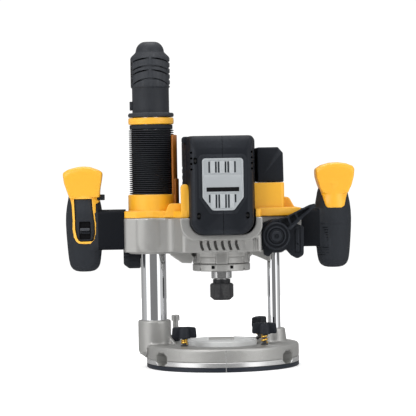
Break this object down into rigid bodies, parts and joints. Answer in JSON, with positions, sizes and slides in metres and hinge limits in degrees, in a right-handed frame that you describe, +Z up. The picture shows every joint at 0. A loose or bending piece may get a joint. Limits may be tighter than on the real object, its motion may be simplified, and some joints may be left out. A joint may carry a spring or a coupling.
{
  "type": "plunge router",
  "caption": "Cordless plunge router: cast base on a round sole, two guide columns, a hollow dust column with bellows and hose adapter, and a sliding motor head with two grips.",
  "frame": {"origin": "centre of the overall box at the sole's underside; the spindle's axis stands 12 mm to the right of it", "axes": "+Z up along the spindle, +X towards the right grip, -Y towards the front cover"},
  "size_m": [0.313, 0.1646, 0.3504],
  "materials": {
    "cast_aluminium": "fine sand-cast and tumbled, satin",
    "phenolic": "satin black phenolic",
    "clear_plastic": "clear polycarbonate",
    "black_plastic": "fine moulded texture, charcoal black",
    "grey_plastic": "fine moulded texture, dark grey",
    "yellow_plastic": "satin moulded, warm yellow",
    "grip_rubber": "soft overmould, matt",
    "bellows_rubber": "matt folded rubber",
    "chrome": "hard chrome, polished",
    "steel": "machined",
    "black_steel": "black oxide",
    "zinc": "zinc plated",
    "bronze": "sintered bronze",
    "spring_brass": "yellow passivated wire",
    "badge_silver": "silver paint, satin",
    "board_green": "solder mask"
  },
  "bodies": {
    "base": {"base_casting": "cast_aluminium", "sole_plate": "phenolic", "clear_shroud": "clear_plastic", "dust_column": "chrome", "guide_column": "chrome", "dust_adapter": "black_plastic", "adapter_ring": "yellow_plastic", "bellows_cuff": "black_plastic", "dust_bellows": "bellows_rubber", "fence_clamp_spring_front_left": "spring_brass", "fence_clamp_spring_front_right": "spring_brass", "fence_clamp_spring_back_right": "spring_brass", "plunge_spring": "steel"},
    "head": {"head_casting": "cast_aluminium", "nose_ring": "cast_aluminium", "led_lens_left": "clear_plastic", "led_lens_right": "clear_plastic", "left_housing": "yellow_plastic", "right_housing": "yellow_plastic", "front_cover_left": "black_plastic", "front_cover_right": "black_plastic", "badge_grille": "badge_silver", "spring_cap": "black_plastic", "rear_housing": "black_plastic", "battery_rails": "black_plastic", "terminal_block": "black_plastic", "controller_board": "board_green", "motor_can": "grey_plastic", "motor_stator": "steel", "upper_bearing": "steel", "lower_bearing": "steel", "column_bush_left": "bronze", "column_bush_right": "bronze", "left_grip": "grip_rubber", "right_grip": "grip_rubber", "left_crown": "yellow_plastic", "right_crown": "yellow_plastic", "switch_bezel": "yellow_plastic", "lever_plate": "black_plastic"},
    "spindle": {"spindle_shaft": "steel", "motor_rotor": "steel", "cooling_fan": "black_plastic", "collet": "steel", "collet_nut": "black_steel"},
    "turret": {"depth_turret": "black_plastic", "stop_screw_tall": "zinc", "stop_screw_middle": "zinc", "stop_screw_short": "zinc"},
    "clamp_front_left": {"fence_clamp_knob_front_left": "black_plastic"},
    "clamp_front_right": {"fence_clamp_knob_front_right": "black_plastic"},
    "clamp_back_right": {"fence_clamp_knob_back_right": "black_plastic"},
    "lock_lever": {"plunge_lock_lever": "black_plastic", "lock_bolt": "steel"},
    "depth_rod": {"depth_rod": "steel"},
    "depth_knob": {"depth_clamp_knob": "black_plastic"},
    "speed_dial": {"speed_dial": "grey_plastic"},
    "spindle_lock": {"spindle_lock_button": "black_plastic"},
    "trigger": {"trigger": "black_plastic"},
    "lock_slider": {"lock_slider": "grey_plastic"},
    "lock_off": {"lock_off_button": "black_plastic"}
  },
  "joints": [
    {"name": "plunge", "type": "slide", "parent": "base", "child": "head", "axis": [0, 0, 1], "range_m": [-0.055, 0], "stiffness_N_per_m": 1200, "springref_m": 0.08, "deforming": ["dust_bellows", "plunge_spring"]},
    {"name": "spindle_spin", "type": "hinge", "parent": "head", "child": "spindle", "pos_m": [0.012, 0, 0.1], "axis": [0, 0, 1], "continuous": true},
    {"name": "turret_turn", "type": "hinge", "parent": "base", "child": "turret", "pos_m": [-0.046, 0.038, 0.03], "axis": [0, 0, 1], "continuous": true},
    {"name": "clamp_front_left_turn", "type": "hinge", "parent": "base", "child": "clamp_front_left", "pos_m": [-0.0305, -0.047, 0.04], "axis": [0, 0, 1], "continuous": true},
    {"name": "clamp_front_right_turn", "type": "hinge", "parent": "base", "child": "clamp_front_right", "pos_m": [0.0545, -0.047, 0.04], "axis": [0, 0, 1], "continuous": true},
    {"name": "clamp_back_right_turn", "type": "hinge", "parent": "base", "child": "clamp_back_right", "pos_m": [0.0545, 0.047, 0.04], "axis": [0, 0, 1], "continuous": true},
    {"name": "plunge_lock_turn", "type": "hinge", "parent": "head", "child": "lock_lever", "pos_m": [0.0685, -0.05, 0.1405], "axis": [0, 1, 0], "range_deg": [0, 30]},
    {"name": "depth_rod_slide", "type": "slide", "parent": "head", "child": "depth_rod", "axis": [0, 0, -1], "range_m": [0, 0.05]},
    {"name": "depth_knob_turn", "type": "hinge", "parent": "head", "child": "depth_knob", "pos_m": [-0.086, 0.038, 0.12], "axis": [1, 0, 0], "continuous": true},
    {"name": "speed_dial_turn", "type": "hinge", "parent": "head", "child": "speed_dial", "pos_m": [-0.012, 0.058, 0.228], "axis": [0, 1, 0], "range_deg": [0, 270]},
    {"name": "spindle_lock_push", "type": "slide", "parent": "head", "child": "spindle_lock", "axis": [0, -1, 0], "range_m": [0, 0.003], "stiffness_N_per_m": 400, "springref_m": -0.004},
    {"name": "trigger_pull", "type": "hinge", "parent": "head", "child": "trigger", "pos_m": [-0.135, -0.015, 0.1805], "axis": [1, 0, 0], "range_deg": [0, 5.5], "stiffness_Nm_per_rad": 0.8, "springref_deg": -8.59},
    {"name": "lock_slider_slide", "type": "slide", "parent": "trigger", "child": "lock_slider", "axis": [0, 0, 1], "range_m": [0, 0.006]},
    {"name": "lock_off_push", "type": "slide", "parent": "head", "child": "lock_off", "axis": [-1, 0, 0], "range_m": [0, 0.003], "stiffness_N_per_m": 300, "springref_m": -0.004}
  ]
}
